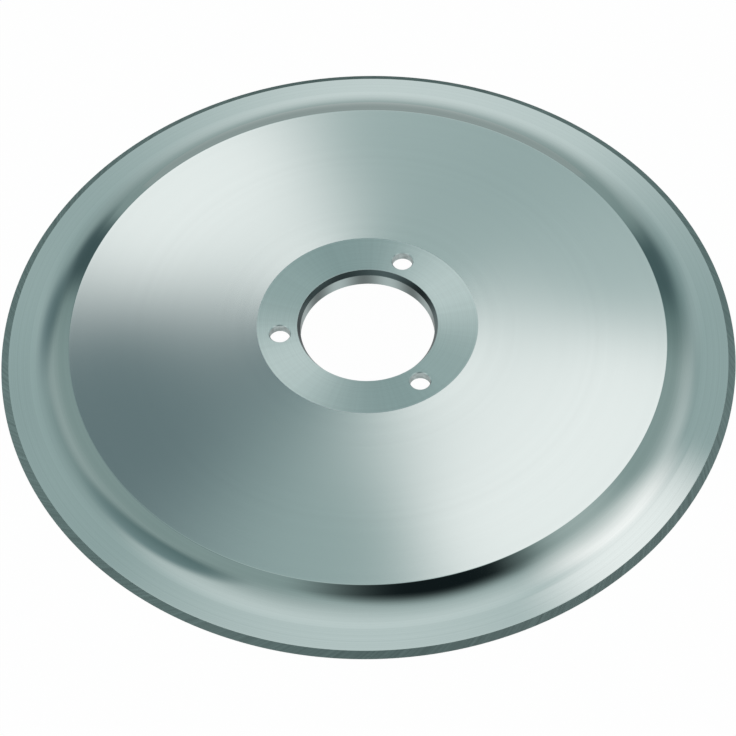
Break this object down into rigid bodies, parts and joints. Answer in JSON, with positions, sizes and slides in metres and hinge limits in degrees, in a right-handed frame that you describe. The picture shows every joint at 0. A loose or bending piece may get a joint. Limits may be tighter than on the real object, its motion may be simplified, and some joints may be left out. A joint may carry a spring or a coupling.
{
  "type": "food slicer blade",
  "caption": "Round dished steel blade of a food slicer, with a ground cutting rim, a recessed front, a centre bore and countersunk screw holes in its hub.",
  "frame": {"origin": "on the blade's axis, in the plane of its cutting edge", "axes": "+Z along the blade's axis, towards its back and hub face; +Y through the middle of one screw hole"},
  "size_m": [0.22, 0.22, 0.0165],
  "materials": {
    "blade_steel": "polished"
  },
  "bodies": {
    "root": {"slicer_blade": "blade_steel"}
  },
  "joints": []
}
